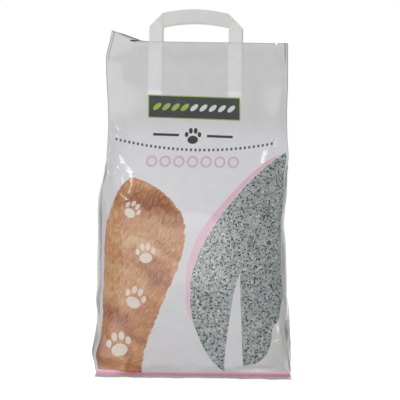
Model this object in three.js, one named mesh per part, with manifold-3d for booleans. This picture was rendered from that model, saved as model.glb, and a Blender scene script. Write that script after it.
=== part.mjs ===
// A filled sack of cat litter, standing on its base. Millimetres, +Z up, the front panel faces -Y, and the origin is on
// the floor under the middle of the sack.
// The sack is a film tube with a gusset in each side, welded straight across at its two ends. The litter fills the
// lower part, and the slack neck above it narrows to a flat top. Two strip handles, one behind the other, are folded
// square at their corners, and their arms run down between the films of the neck.

import * as THREE from 'three';
import { mergeVertices } from 'three/addons/utils/BufferGeometryUtils.js';
import Module from 'manifold-3d';

// Sack
const FILM_WIDTH = 352; // flat width of the film tube, fold to fold
const SACK_HEIGHT = 618; // floor to the top weld
const SACK_DEPTH = 176; // front to back at the belly
const FILL_HEIGHT = 380; // where the litter ends and the neck begins
const GUSSET_FOLD = 60; // how far each side is folded in at the top
const FILM_EDGE = 1.4; // films that lie together at each side of the flat top
const TOP_SKIN = 1.4; // films outside the strip ends in the flat top

// Bottom weld, which stands along the front of the base
const WELD_HEIGHT = 5;
const WELD_DEPTH = 14; // from its face back into the base
const WELD_STANDOUT = 1.6; // in front of the panel above it

// Left corner of the top, which is pulled up and tucked in
const CORNER_LIFT = 20;
const CORNER_TUCK = 10;
const CORNER_WIDTH = 66; // along the top edge
const CORNER_HEIGHT = 32; // down the side

// Nick in the top edge
const NICK_WIDTH = 4.5;
const NICK_DEPTH = 5.5;
const NICK_FROM_SIDE = 22; // from the right end of the top edge

// Handles
const STRIP_WIDTH = 25;
const STRIP_THICKNESS = 0.8;
const ARM_SPACING = 150; // middle to middle of the two arms
const HANDLE_RISE = 54; // top weld to the upper end of the corner folds
const CROSSBAR_ARCH = 7.5; // how far the middle of the crossbar stands above its ends
const ARM_REACH = 115; // length of arm between the films
const REAR_LOOP_SHIFT = 2.5; // the rear loop stands this far to the right of the front one
const REAR_LOOP_DROP = 3; // and this much lower
const CLEARANCE = 0.3; // between a strip and what lies next to it

// Fineness of the mesh
const PANEL_STEPS = 24;
const SIDE_STEPS = 8;
const ROWS_BETWEEN_LEVELS = 4;
const ARCH_STEPS = 24;
const SPARE = 2; // how far a cutting shape runs past what it cuts

const film = new THREE.MeshStandardMaterial({ color: 0xdcdcde, roughness: 0.3, metalness: 0 });
const strip = new THREE.MeshStandardMaterial({ color: 0xe4e4e3, roughness: 0.45, metalness: 0 });

const wasm = await Module();
wasm.setup();

// A closed geometry as a solid that can be joined and cut.
function solidFrom(geometry) {
  geometry.deleteAttribute('normal');
  geometry.deleteAttribute('uv');
  const merged = mergeVertices(geometry);
  return new wasm.Manifold(new wasm.Mesh({
    numProp: 3,
    vertProperties: merged.attributes.position.array,
    triVerts: new Uint32Array(merged.index.array),
  }));
}

// A solid as a flat-shaded mesh with its name and material.
function meshFrom(solid, name, material) {
  const { vertProperties, triVerts } = solid.getMesh();
  const indexed = new THREE.BufferGeometry();
  indexed.setAttribute('position', new THREE.BufferAttribute(vertProperties, 3));
  indexed.setIndex(new THREE.BufferAttribute(triVerts, 1));
  const geometry = indexed.toNonIndexed();
  geometry.computeVertexNormals();
  const mesh = new THREE.Mesh(geometry, material);
  mesh.name = name;
  return mesh;
}

// A block between two corners.
function block(low, high) {
  const size = high.clone().sub(low);
  const middle = low.clone().add(high).multiplyScalar(0.5);
  return solidFrom(new THREE.BoxGeometry(size.x, size.y, size.z).translate(middle.x, middle.y, middle.z));
}

// A plate that stands upright: an outline in X and Z, with its faces at two values of Y.
function uprightPlate(outline, front, back) {
  const geometry = new THREE.ExtrudeGeometry(outline, {
    depth: back - front,
    bevelEnabled: false,
    curveSegments: ARCH_STEPS,
  });
  return solidFrom(geometry.rotateX(Math.PI / 2).translate(0, back, 0));
}

// The sack's levels, from the floor up. Width is fold to fold. Front and back are how far each panel's middle stands
// from the middle plane, and the round shares say how much of that is the panel's own bulge. Side is how far the
// side panel stands out, fold is how far it is folded in, and sway moves the level to the right.
const deep = (share) => share * SACK_DEPTH / 2;
const filled = (share) => share * FILL_HEIGHT;
const neck = (share) => FILL_HEIGHT + share * (SACK_HEIGHT - FILL_HEIGHT);
const folded = (share) => share * GUSSET_FOLD;
const topHalf = TOP_SKIN + CLEARANCE + 2 * STRIP_THICKNESS + CLEARANCE / 2;

const levels = [
  { height: 0, width: FILM_WIDTH - 30, front: deep(0.8), frontRound: 0.06, back: deep(0.7), backRound: 0.22,
    side: 2, fold: 0, sway: 3 },
  { height: WELD_HEIGHT, width: FILM_WIDTH - 6, front: deep(0.9), frontRound: 0.04, back: deep(0.84),
    backRound: 0.27, side: 2, fold: 0, sway: 3 },
  { height: filled(0.05), width: FILM_WIDTH - 2, front: deep(0.93), frontRound: 0.1, back: deep(0.95),
    backRound: 0.32, side: 6, fold: 0, sway: 1 },
  { height: filled(0.1), width: FILM_WIDTH - 2, front: deep(0.955), frontRound: 0.17, back: deep(0.98),
    backRound: 0.34, side: 8, fold: 0, sway: 0 },
  { height: filled(0.25), width: FILM_WIDTH - 14, front: deep(0.99), frontRound: 0.36, back: deep(0.99),
    backRound: 0.43, side: 9.5, fold: 0, sway: 1 },
  { height: filled(0.5), width: FILM_WIDTH - 24, front: deep(1), frontRound: 0.54, back: deep(1),
    backRound: 0.54, side: 13, fold: 0, sway: -1.5 },
  { height: filled(0.79), width: FILM_WIDTH - 24, front: deep(0.91), frontRound: 0.52, back: deep(0.91),
    backRound: 0.52, side: 12, fold: 0, sway: -1 },
  { height: FILL_HEIGHT, width: FILM_WIDTH - 18, front: deep(0.64), frontRound: 0.46, back: deep(0.64),
    backRound: 0.46, side: 2, fold: 0, sway: 3 },
  { height: neck(0.3), width: FILM_WIDTH - 14, front: deep(0.33), frontRound: 0.4, back: deep(0.33),
    backRound: 0.4, side: 0, fold: folded(0.52), sway: 7 },
  { height: neck(0.67), width: FILM_WIDTH - 13, front: deep(0.14), frontRound: 0.34, back: deep(0.14),
    backRound: 0.34, side: 0, fold: folded(0.88), sway: 6 },
  { height: SACK_HEIGHT, width: FILM_WIDTH - 12, front: topHalf, frontRound: 0, back: topHalf, backRound: 0,
    side: 0, fold: folded(1), sway: 3.5 },
];
const topLevel = levels[levels.length - 1];
const topLeft = topLevel.sway - topLevel.width / 2;
const topRight = topLevel.sway + topLevel.width / 2;

// Every row of the sack's skin: the levels above, with smooth rows between them.
function sackRows() {
  const keys = Object.keys(levels[0]).filter((key) => key !== 'height');
  const heights = levels.map((level) => level.height);
  const values = levels.flatMap((level) => keys.map((key) => level[key]));
  const curve = new THREE.CubicInterpolant(heights, values, keys.length);
  const rowAt = (height) => {
    const found = curve.evaluate(height);
    return { height, ...Object.fromEntries(keys.map((key, i) => [key, found[i]])) };
  };
  const rows = [];
  for (let i = 1; i < heights.length; i += 1) {
    for (let step = 0; step < ROWS_BETWEEN_LEVELS; step += 1) {
      const share = step / ROWS_BETWEEN_LEVELS;
      rows.push(rowAt(heights[i - 1] + share * (heights[i] - heights[i - 1])));
    }
  }
  rows.push({ ...topLevel });
  return rows;
}

// How far a row's folds stand from the middle plane, in front of it and behind it.
function folds(row) {
  return { front: row.front * (1 - row.frontRound), back: row.back * (1 - row.backRound) };
}

// One row's outline, anticlockwise seen from above, in four runs of points: the front panel and its two folds, the
// right side, the back panel and its two folds, and the left side.
function outline(row) {
  const { front, back } = folds(row);
  const side = Math.max(0, row.side);
  const runs = { front: [], right: [], back: [], left: [] };
  for (let i = 0; i <= PANEL_STEPS; i += 1) {
    const place = 2 * i / PANEL_STEPS - 1;
    const arch = 1 - place * place;
    const along = place * row.width / 2;
    runs.front.push(new THREE.Vector2(row.sway + along, -front - (row.front - front) * arch));
    runs.back.push(new THREE.Vector2(row.sway - along, back + (row.back - back) * arch));
  }
  for (let i = 1; i < SIDE_STEPS; i += 1) {
    const share = i / SIDE_STEPS;
    const out = row.width / 2 + side * 4 * share * (1 - share);
    runs.right.push(new THREE.Vector2(row.sway + out, -front + share * (front + back)));
    runs.left.push(new THREE.Vector2(row.sway - out, back - share * (front + back)));
  }
  return [...runs.front, ...runs.right, ...runs.back, ...runs.left];
}

// The flat cap of an outline, as triangles that face up: strips between the two panels, and a fan at each side.
function capTriangles() {
  const lastFront = PANEL_STEPS;
  const firstBack = PANEL_STEPS + SIDE_STEPS;
  const lastBack = firstBack + PANEL_STEPS;
  const around = lastBack + SIDE_STEPS;
  const triangles = [];
  for (let i = 0; i < PANEL_STEPS; i += 1) {
    triangles.push([i, i + 1, lastBack - i - 1], [i, lastBack - i - 1, lastBack - i]);
  }
  for (let i = 1; i < SIDE_STEPS; i += 1) {
    triangles.push([lastFront, lastFront + i, lastFront + i + 1]);
    triangles.push([lastBack, lastBack + i, (lastBack + i + 1) % around]);
  }
  return triangles;
}

// The left corner of the top is pulled up and tucked in, and the film under it follows.
function liftCorner(point) {
  const along = THREE.MathUtils.clamp((topLeft + CORNER_WIDTH - point.x) / CORNER_WIDTH, 0, 1);
  const up = along * THREE.MathUtils.smoothstep(point.z, SACK_HEIGHT - CORNER_HEIGHT, SACK_HEIGHT);
  return new THREE.Vector3(point.x + CORNER_TUCK * up, point.y, point.z + CORNER_LIFT * up);
}

// A closed skin through stacked rings of points, each anticlockwise seen from above, with a cap at each end.
function skinThrough(rings, cap) {
  const around = rings[0].length;
  const index = [];
  for (let row = 1; row < rings.length; row += 1) {
    for (let i = 0; i < around; i += 1) {
      const next = (i + 1) % around;
      const below = (row - 1) * around;
      const above = row * around;
      index.push(below + i, below + next, above + next, below + i, above + next, above + i);
    }
  }
  const top = (rings.length - 1) * around;
  for (const [a, b, c] of cap) index.push(a, c, b, top + a, top + b, top + c);
  const positions = rings.flat().flatMap((point) => {
    const lifted = liftCorner(point);
    return [lifted.x, lifted.y, lifted.z];
  });
  const geometry = new THREE.BufferGeometry();
  geometry.setAttribute('position', new THREE.Float32BufferAttribute(positions, 3));
  geometry.setIndex(index);
  return solidFrom(geometry);
}

function sackSkin() {
  const rings = sackRows().map((row) => outline(row).map(({ x, y }) => new THREE.Vector3(x, y, row.height)));
  return skinThrough(rings, capTriangles());
}

// The space outside one side of the neck, where the gusset is folded in between the panels: a wedge that grows
// deeper towards the top. Its side is -1 on the left and 1 on the right.
function gussetSpace(side) {
  const rings = sackRows().filter((row) => row.fold > 0 && row.height > FILL_HEIGHT).map((row) => {
    const { front, back } = folds(row);
    const mouth = row.sway + side * (row.width / 2 + SPARE);
    const inner = row.sway + side * (row.width / 2 - row.fold);
    const height = row.height + (row.height === SACK_HEIGHT ? SPARE : 0);
    const ring = [
      new THREE.Vector3(inner, (back - front) / 2, height),
      new THREE.Vector3(mouth, -front + FILM_EDGE, height),
      new THREE.Vector3(mouth, back - FILM_EDGE, height),
    ];
    return side > 0 ? ring : ring.reverse();
  });
  return skinThrough(rings, [[0, 1, 2]]);
}

// The welded edge of the film, along the front of the base.
function bottomWeld() {
  const { front, sway } = levels[1];
  const face = -front - WELD_STANDOUT;
  return block(
    new THREE.Vector3(sway - FILM_WIDTH / 2, face, 0),
    new THREE.Vector3(sway + FILM_WIDTH / 2, face + WELD_DEPTH, WELD_HEIGHT),
  );
}

// The nick, as a wedge that runs right through the films.
function nick() {
  const middle = topRight - NICK_FROM_SIDE;
  const shape = new THREE.Shape([
    new THREE.Vector2(middle, SACK_HEIGHT - NICK_DEPTH),
    new THREE.Vector2(middle + NICK_WIDTH, SACK_HEIGHT + NICK_DEPTH),
    new THREE.Vector2(middle - NICK_WIDTH, SACK_HEIGHT + NICK_DEPTH),
  ]);
  return uprightPlate(shape, -topHalf - SPARE, topHalf + SPARE);
}

// Where each loop's layers lie. The crossbars meet back to back in the middle plane, and each loop's arms are folded
// over the outside of its crossbar.
const frontLoop = { side: -1, shift: 0, drop: 0 };
const rearLoop = { side: 1, shift: REAR_LOOP_SHIFT, drop: REAR_LOOP_DROP };

// The two faces of one layer of a loop: layer 0 is its crossbar, and layer 1 is its arms.
function layerFaces(loop, layer) {
  const near = loop.side * (CLEARANCE / 2 + layer * STRIP_THICKNESS);
  const far = near + loop.side * STRIP_THICKNESS;
  return [Math.min(near, far), Math.max(near, far)];
}

// Heights and places that both the arms and the crossbar use.
function loopFrame(loop) {
  return {
    foldTop: SACK_HEIGHT + HANDLE_RISE - loop.drop,
    foldFoot: SACK_HEIGHT + HANDLE_RISE - loop.drop - STRIP_WIDTH,
    armEnd: SACK_HEIGHT - ARM_REACH - loop.drop,
    inner: ARM_SPACING / 2 - STRIP_WIDTH / 2,
    outer: ARM_SPACING / 2 + STRIP_WIDTH / 2,
  };
}

// One arm, whose upper end is the slanting fold. Its side is -1 on the left and 1 on the right.
function arm(loop, side) {
  const { foldTop, foldFoot, armEnd, inner, outer } = loopFrame(loop);
  const shape = new THREE.Shape([
    new THREE.Vector2(loop.shift + side * outer, armEnd),
    new THREE.Vector2(loop.shift + side * inner, armEnd),
    new THREE.Vector2(loop.shift + side * inner, foldTop),
    new THREE.Vector2(loop.shift + side * outer, foldFoot),
  ]);
  return uprightPlate(shape, ...layerFaces(loop, 1));
}

// The arched crossbar, with a slanting fold at each end.
function crossbar(loop) {
  const { foldTop, foldFoot, inner, outer } = loopFrame(loop);
  const shape = new THREE.Shape();
  shape.moveTo(loop.shift - outer, foldFoot);
  shape.lineTo(loop.shift - inner, foldFoot);
  shape.quadraticCurveTo(loop.shift, foldFoot + 2 * CROSSBAR_ARCH, loop.shift + inner, foldFoot);
  shape.lineTo(loop.shift + outer, foldFoot);
  shape.lineTo(loop.shift + inner, foldTop);
  shape.quadraticCurveTo(loop.shift, foldTop + 2 * CROSSBAR_ARCH, loop.shift - inner, foldTop);
  return uprightPlate(shape, ...layerFaces(loop, 0));
}

// A whole loop: two arms folded over one crossbar.
function handle(loop) {
  return crossbar(loop).add(arm(loop, -1)).add(arm(loop, 1));
}

// The space between the films that one arm lies in, with clearance all round. It is open at the top, and it runs past
// the lifted corner, which an arm near that corner would otherwise meet.
function armPocket(loop, side) {
  const { armEnd, inner, outer } = loopFrame(loop);
  const [front, back] = layerFaces(loop, 1);
  const ends = [loop.shift + side * inner, loop.shift + side * outer];
  return block(
    new THREE.Vector3(Math.min(...ends) - CLEARANCE, front - CLEARANCE, armEnd - CLEARANCE),
    new THREE.Vector3(Math.max(...ends) + CLEARANCE, back + CLEARANCE, SACK_HEIGHT + CORNER_LIFT + SPARE),
  );
}

function filledSack() {
  let sack = sackSkin().subtract(gussetSpace(-1)).subtract(gussetSpace(1)).add(bottomWeld()).subtract(nick());
  for (const loop of [frontLoop, rearLoop]) {
    for (const side of [-1, 1]) sack = sack.subtract(armPocket(loop, side));
  }
  return sack;
}

const litterBag = new THREE.Group();
litterBag.add(meshFrom(filledSack(), 'filled_sack', film));
litterBag.add(meshFrom(handle(frontLoop), 'front_handle', strip));
litterBag.add(meshFrom(handle(rearLoop), 'rear_handle', strip));

export default litterBag;
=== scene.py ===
# %% [markdown]
# A filled sack of cat litter stands upright. It is a tube of white film with a gusset in each side, welded at
# its bottom, printed, and filled to about two thirds. Two flat strips, folded square at their corners, are
# its handles. The sack is made the way a packer makes it: a flat sheet of film is rolled into a tube, the
# gussets are folded in, the lower part is blown out by cloth simulation, and the creases are pressed in one
# by one.

# %% Load the frame
import math

import bpy
import numpy as np
from mathutils import Matrix, Vector


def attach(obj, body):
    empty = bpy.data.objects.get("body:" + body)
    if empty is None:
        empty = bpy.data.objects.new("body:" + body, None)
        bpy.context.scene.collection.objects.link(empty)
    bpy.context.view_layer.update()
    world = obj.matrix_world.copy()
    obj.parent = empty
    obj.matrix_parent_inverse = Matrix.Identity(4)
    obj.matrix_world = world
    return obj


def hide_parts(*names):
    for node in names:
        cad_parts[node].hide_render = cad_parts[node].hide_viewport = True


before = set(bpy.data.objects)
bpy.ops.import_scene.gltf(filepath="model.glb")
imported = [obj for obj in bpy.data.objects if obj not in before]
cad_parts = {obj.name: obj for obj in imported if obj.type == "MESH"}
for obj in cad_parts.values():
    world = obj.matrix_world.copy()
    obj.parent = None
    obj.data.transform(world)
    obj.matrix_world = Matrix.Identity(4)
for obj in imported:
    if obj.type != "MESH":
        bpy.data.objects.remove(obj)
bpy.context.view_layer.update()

MM = 0.001

# %% [markdown]
# The camera stands 1.7 metres in front of the belly, a little to the right and at half height, and looks
# straight along +Y through a long lens. It is rolled by less than one degree, because the sack leans that
# much in the picture.

# %% Camera
LENS_DISTANCE = 1700 * MM  # from the front of the belly
BELLY_FRONT = -88 * MM
LENS_PLACE = Vector((12.6 * MM, BELLY_FRONT - LENS_DISTANCE, 320 * MM))
FRAME_WIDTH = 718 * MM  # what the picture spans at the front of the belly
SENSOR = 36.0
ROLL = math.radians(0.8)

camera_data = bpy.data.cameras.new("camera")
camera_data.sensor_width = SENSOR
camera_data.lens = SENSOR * LENS_DISTANCE / FRAME_WIDTH
camera = bpy.data.objects.new("camera", camera_data)
camera.matrix_world = (Matrix.Translation(LENS_PLACE) @ Matrix.Rotation(math.pi / 2, 4, "X")
                       @ Matrix.Rotation(ROLL, 4, "Z"))
bpy.context.collection.objects.link(camera)
bpy.context.scene.camera = camera
print("lens:", round(camera_data.lens, 1))

# %% [markdown]
# Shader maths reads best as ordinary expressions. Wire wraps one output of a node, and an operator on it
# adds the Math node that does the sum. Finish owns one material and has the single method that adds any
# other node.

# %% Shader expressions
def sums(operation, swapped=False):
    """A method of Wire that joins the wire and one other value in a Math node."""
    def method(self, other):
        ends = (other, self) if swapped else (self, other)
        return self.finish.node("ShaderNodeMath", {"operation": operation}, *ends)
    return method


class Wire:
    """One value that runs between nodes, which takes + - * / ** as numbers do."""

    def __init__(self, finish, socket):
        self.finish, self.socket = finish, socket

    __add__ = __radd__ = sums("ADD")
    __sub__, __rsub__ = sums("SUBTRACT"), sums("SUBTRACT", swapped=True)
    __mul__ = __rmul__ = sums("MULTIPLY")
    __truediv__, __pow__ = sums("DIVIDE"), sums("POWER")
    least, most = sums("MINIMUM"), sums("MAXIMUM")

    def math(self, operation, *others):
        return self.finish.node("ShaderNodeMath", {"operation": operation}, self, *others)

    def __abs__(self):
        return self.math("ABSOLUTE")

    def step(self, start, end):
        """0 before start, 1 past end, and a smooth rise between them."""
        settings = {"interpolation_type": "SMOOTHSTEP", "clamp": True}
        return self.finish.node("ShaderNodeMapRange", settings, self, start, end, 0.0, 1.0)


class Finish:
    """One material with its nodes."""

    def __init__(self, name):
        self.material = bpy.data.materials.new(name)
        self.material.use_nodes = True
        self.tree = self.material.node_tree
        self.shader = self.tree.nodes["Principled BSDF"]

    def node(self, kind, settings=None, *values, output=0, **named):
        made = self.tree.nodes.new(kind)
        for key, setting in (settings or {}).items():
            if key == "stops":
                ramp = made.color_ramp
                while len(ramp.elements) < len(setting):
                    ramp.elements.new(0.5)
                for element, (place, colour) in zip(ramp.elements, setting):
                    element.position, element.color = place, colour
            elif key == "bends":
                curve = made.mapping.curves[0]
                while len(curve.points) < len(setting):
                    curve.points.new(0.5, 0.5)
                for point, place in zip(curve.points, setting):
                    point.location = place
                made.mapping.update()
            else:
                setattr(made, key, setting)
        sockets = [s for s in made.inputs if s.enabled]
        for socket, value in list(zip(sockets, values)) + [(made.inputs[k], v) for k, v in named.items()]:
            self.feed(socket, value)
        found = [s for s in made.outputs if s.enabled]
        return Wire(self, made.outputs[output] if isinstance(output, str) else found[output])

    def feed(self, socket, value):
        if isinstance(value, Wire):
            self.tree.links.new(value.socket, socket)
        elif value is not None:
            socket.default_value = value

    def surface(self, **named):
        for key, value in named.items():
            self.feed(self.shader.inputs[key.replace("_", " ")], value)

    def blend(self, share, first, second):
        """Colour first where share is 0, and second where it is 1."""
        return self.node("ShaderNodeMix", {"data_type": "RGBA"}, share, first, second)


def paint(red, green, blue):
    """A colour as a picture editor gives it, from 0 to 255, as the light values that a shader takes."""
    def light(c):
        return c / 12.92 if c <= 0.04045 else ((c + 0.055) / 1.055) ** 2.4
    return (*(light(c / 255) for c in (red, green, blue)), 1.0)


print("a middle grey of 128 is", round(paint(128, 128, 128)[0], 3), "as light")

# %% [markdown]
# The sack stands on a plain pale floor. The camera, and anything glossy, sees clean white behind it, while
# the light itself is soft: one wide key lamp in front and to the left, a lamp behind, and a dim room around
# them. Two small lamps, high up at both sides, only make the glints on the shoulders. The floor is white
# for the camera except where the sack shades it.

# %% Stage and light
ROOM_LIGHT = 0.26
FLOOR_LEVEL = -0.6 * MM


def soft_lamp(name, place, target, size, power):
    lamp = bpy.data.lights.new(name, "AREA")
    lamp.shape, lamp.energy = "RECTANGLE", power
    lamp.size, lamp.size_y = size
    held = bpy.data.objects.new(name, lamp)
    held.location = place
    held.rotation_euler = (Vector(target) - Vector(place)).to_track_quat("-Z", "Y").to_euler()
    bpy.context.collection.objects.link(held)


soft_lamp("key_lamp", (-0.4, -2.1, 0.45), (0, 0, 0.3), (2.2, 1.7), 31)
for place in ((-1.04, -1.52, 1.41), (0.85, -1.52, 1.55)):
    soft_lamp("spark_lamp", place, (0, 0, 0.35), (0.09, 0.09), 0.5)
soft_lamp("back_lamp", (0.2, 1.9, 1.2), (0, 0, 0.3), (1.6, 1.0), 14)

bpy.context.scene.view_settings.view_transform = "Standard"
world = bpy.data.worlds.new("room")
bpy.context.scene.world = world
world.use_nodes = True
room_nodes, room_link = world.node_tree.nodes, world.node_tree.links.new
room_path, room_mix = room_nodes.new("ShaderNodeLightPath"), room_nodes.new("ShaderNodeMixShader")
room_dim, room_white = room_nodes["Background"], room_nodes.new("ShaderNodeBackground")
for share, light, strength in ((1, room_dim, ROOM_LIGHT), (2, room_white, 1.0)):
    light.inputs["Color"].default_value = (1, 1, 1, 1)
    light.inputs["Strength"].default_value = strength
    room_link(light.outputs[0], room_mix.inputs[share])
sees_white = room_path.outputs["Is Camera Ray"]
for ray in ("Is Transmission Ray", "Is Glossy Ray"):
    either = room_nodes.new("ShaderNodeMath")
    either.operation, either.use_clamp = "ADD", True
    room_link(sees_white, either.inputs[0])
    room_link(room_path.outputs[ray], either.inputs[1])
    sees_white = either.outputs[0]
room_link(sees_white, room_mix.inputs[0])
room_link(room_mix.outputs[0], room_nodes["World Output"].inputs["Surface"])

floor_finish = Finish("pale_floor")
looked_at = sum(floor_finish.node("ShaderNodeLightPath", output=ray)
                for ray in ("Is Camera Ray", "Is Glossy Ray", "Is Transmission Ray")).least(1.0)
floor_glow = floor_finish.blend(looked_at, (0, 0, 0, 1), (1, 1, 1, 1))
floor_finish.surface(Base_Color=paint(240, 240, 240), Roughness=0.9, Specular_IOR_Level=0.0,
                     Emission_Strength=0.8, Emission_Color=floor_glow)
bpy.ops.object.select_all(action="DESELECT")
bpy.ops.mesh.primitive_plane_add(size=12, location=(0, 0, FLOOR_LEVEL))
floor = bpy.context.active_object
floor.name = "floor"
floor.data.materials.append(floor_finish.material)

# %% [markdown]
# The film starts as a flat sheet, as wide as the tube is round. A grid gives it, with a UV map. The map is
# then written in metres of film: across from the middle of the front panel, and up from the floor. The
# print is laid out on it, so it stays on the film when the film bends.

# %% Flat sheet of film
PANEL = 352.0  # flat width of the front panel, and of the back one
GUSSET = 120.0  # film in each side, open
LAP = PANEL + GUSSET  # round the film from the middle of one panel to the middle of the other
AROUND = 2 * LAP
HEIGHT = 618.0
PANEL_STEPS, GUSSET_STEPS, ROWS = 64, 20, 112
RING = 2 * (PANEL_STEPS + GUSSET_STEPS)


def bare_selection():
    if bpy.context.mode != "OBJECT":
        bpy.ops.object.mode_set(mode="OBJECT")
    bpy.ops.object.select_all(action="DESELECT")


def pick(piece):
    """Selects this piece alone and makes it the active one."""
    bare_selection()
    piece.select_set(True)
    bpy.context.view_layer.objects.active = piece


def numbers_of(items, key, width=1, kind=float):
    """One value of every point or corner of a mesh, as an array."""
    flat = np.zeros(len(items) * width, kind)
    items.foreach_get(key, flat)
    return flat.reshape(-1, width) if width > 1 else flat


def points_of(piece):
    return numbers_of(piece.data.vertices, "co", 3)


def move_points(piece, points):
    piece.data.vertices.foreach_set("co", np.ascontiguousarray(points, dtype=float).ravel())
    piece.data.update()


bare_selection()
bpy.ops.mesh.primitive_grid_add(x_subdivisions=RING, y_subdivisions=ROWS, size=1, calc_uvs=True)
sack = bpy.context.active_object
sack.name = sack.data.name = "sack"
sheet = points_of(sack)
step_round = np.rint((sheet[:, 0] - sheet[:, 0].min()) / np.ptp(sheet[:, 0]) * RING).astype(int)
share_up = (sheet[:, 1] - sheet[:, 1].min()) / np.ptp(sheet[:, 1])
print("sheet points:", len(sheet))

# %% [markdown]
# The tube is set up level by level. A level says how wide the sack is, how far each panel stands out, how
# much of that is the panel's own bulge, how far the sides stand out or are folded in, and how far the level
# sways. Smooth curves run between the levels, as the film does.

# %% Levels of the sack
# height, width, front, front's own bulge, back, back's own bulge, side out, side in, sway
LEVELS = np.array([
    (0, 326, 70.4, 4, 61.6, 14, 2, 0, 3),
    (5, 348, 79, 3, 74, 18, 4, 0, 3),
    (19, 352, 80, 6, 81, 24, 8, 0, 1),
    (38, 352, 81, 12, 82, 26, 11, 0, 0),
    (95, 347, 82.5, 24, 83, 30, 11, 0, 1),
    (190, 343, 83, 33, 83, 35, 13, 0, -1.5),
    (300, 343, 76.5, 31, 76.5, 32, 12, 0, -1),
    (380, 339, 54, 22, 54, 22, 4, 0, 3),
    (451, 338, 29, 12, 29, 12, 0, 31, 7),
    (539, 339, 12, 4, 12, 4, 0, 53, 6),
    (HEIGHT, 340, 2.2, 0, 2.2, 0, 0, 60, 3.5),
])


def between_levels(table, heights):
    """Each column of the table at these heights, on smooth curves through the levels."""
    at, values = table[:, 0], table[:, 1:]
    gaps = np.diff(at)[:, None]
    slopes = np.diff(values, axis=0) / gaps
    tangents = np.vstack([slopes[:1], (slopes[:-1] * gaps[1:] + slopes[1:] * gaps[:-1])
                          / (gaps[1:] + gaps[:-1]), slopes[-1:]])
    i = np.clip(np.searchsorted(at, heights) - 1, 0, len(at) - 2)
    h = gaps[i]
    t = ((heights - at[i]) / (at[i + 1] - at[i]))[:, None]
    return ((2 * t**3 - 3 * t**2 + 1) * values[i] + (t**3 - 2 * t**2 + t) * h * tangents[i]
            + (3 * t**2 - 2 * t**3) * values[i + 1] + (t**3 - t**2) * h * tangents[i + 1])


def smooth_step(x, start, end):
    t = np.clip((x - start) / (end - start), 0, 1)
    return t * t * (3 - 2 * t)


up = share_up * HEIGHT
width, front, front_bulge, back, back_bulge, side_out, side_in, sway = between_levels(LEVELS, up).T
part = np.searchsorted(np.cumsum([PANEL_STEPS, GUSSET_STEPS, PANEL_STEPS, GUSSET_STEPS]), step_round % RING,
                       side="right")
start = np.array([0, PANEL_STEPS, PANEL_STEPS + GUSSET_STEPS, 2 * PANEL_STEPS + GUSSET_STEPS])[part]
along = (step_round % RING - start) / np.where(part % 2 == 0, PANEL_STEPS, GUSSET_STEPS)
across = 2 * along - 1
arch = 1 - 0.65 * across**2 - 0.35 * across**4
fold_front, fold_back = front - front_bulge, back - back_bulge
stands_out = np.maximum(side_out, 0) * 4 * along * (1 - along)
out = width / 2 + stands_out - np.maximum(side_in, 0) * (1 - abs(across))
between_folds = along * (fold_front + fold_back)
x = sway + np.choose(part, [across * width / 2, out, -across * width / 2, -out])
y = np.choose(part, [-fold_front - front_bulge * arch, -fold_front + between_folds,
                     fold_back + back_bulge * arch, fold_back - between_folds])
tube = np.stack([x, y, up], axis=1)
film_place = np.where(part == 3, 2 * PANEL + GUSSET, np.choose(part, [0, PANEL, PANEL + GUSSET, 0]))
film_across = film_place + along * np.where(part % 2 == 0, PANEL, GUSSET) - PANEL / 2
film_across = np.where(step_round == RING, AROUND - PANEL / 2, film_across)
move_points(sack, tube * MM)

corner = numbers_of(sack.data.loops, "vertex_index", kind=int)
uv = np.stack([film_across[corner], up[corner]], axis=1) * MM
sack.data.uv_layers.active.data.foreach_set("uv", uv.ravel())
sack.data.uv_layers.active.name = "film"

bpy.ops.object.mode_set(mode="EDIT")
bpy.ops.mesh.select_all(action="SELECT")
bpy.ops.mesh.remove_doubles(threshold=1e-6)
bpy.ops.object.mode_set(mode="OBJECT")
print("tube:", len(sack.data.vertices), "points, box", np.ptp(points_of(sack), axis=0).round(4))

# %% [markdown]
# The litter pushes the film out from inside. Cloth simulation with pressure does that better than a hand
# could: the film has a little more area than the tube it starts from, so it buckles into soft creases where
# the welds and the folded gussets hold it. The neck and the foot are pinned, and no point may move further
# than the cap.

# %% Blow out the lower part
CAP = 6.5 * MM
BLOW_FRAMES = 20
rest_x, _, rest_z = points_of(sack).T
side_film = smooth_step(abs(rest_x), 0.150, 0.168)
held_above = smooth_step(rest_z, 0.300 + 0.060 * side_film, 0.440 + 0.010 * side_film)
held = np.maximum(held_above, 1 - smooth_step(rest_z, 0.002, 0.020))


def blow_out(piece, held, loose, cap):
    before = points_of(piece)
    pins = piece.vertex_groups.new(name="held")
    for index, weight in enumerate(held):
        if weight > 0:
            pins.add([index], float(weight), "REPLACE")
    cloth = piece.modifiers.new("blown", "CLOTH")
    film = cloth.settings
    film.quality, film.mass = 6, 0.2
    film.tension_stiffness, film.compression_stiffness = 25, 25
    film.shear_stiffness, film.bending_stiffness = 12, 0.6
    film.use_pressure, film.uniform_pressure_force = True, 4
    film.shrink_min = -0.02
    film.effector_weights.gravity = 0
    film.vertex_group_mass = "held"
    cloth.collision_settings.use_collision = False
    cloth.point_cache.frame_start, cloth.point_cache.frame_end = 1, BLOW_FRAMES
    for moment in range(1, BLOW_FRAMES + 1):
        bpy.context.scene.frame_set(moment)
    pick(piece)
    bpy.ops.object.modifier_apply(modifier="blown")
    bpy.context.scene.frame_set(1)
    piece.vertex_groups.clear()
    moved = points_of(piece) - before
    far = np.linalg.norm(moved, axis=1, keepdims=True)
    print("blown out by up to", (far.max() / MM).round(1), "mm, mean", (far.mean() / MM).round(1))
    move_points(piece, before + moved * np.minimum(1, cap / np.maximum(far, 1e-9)) * loose[:, None])


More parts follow.
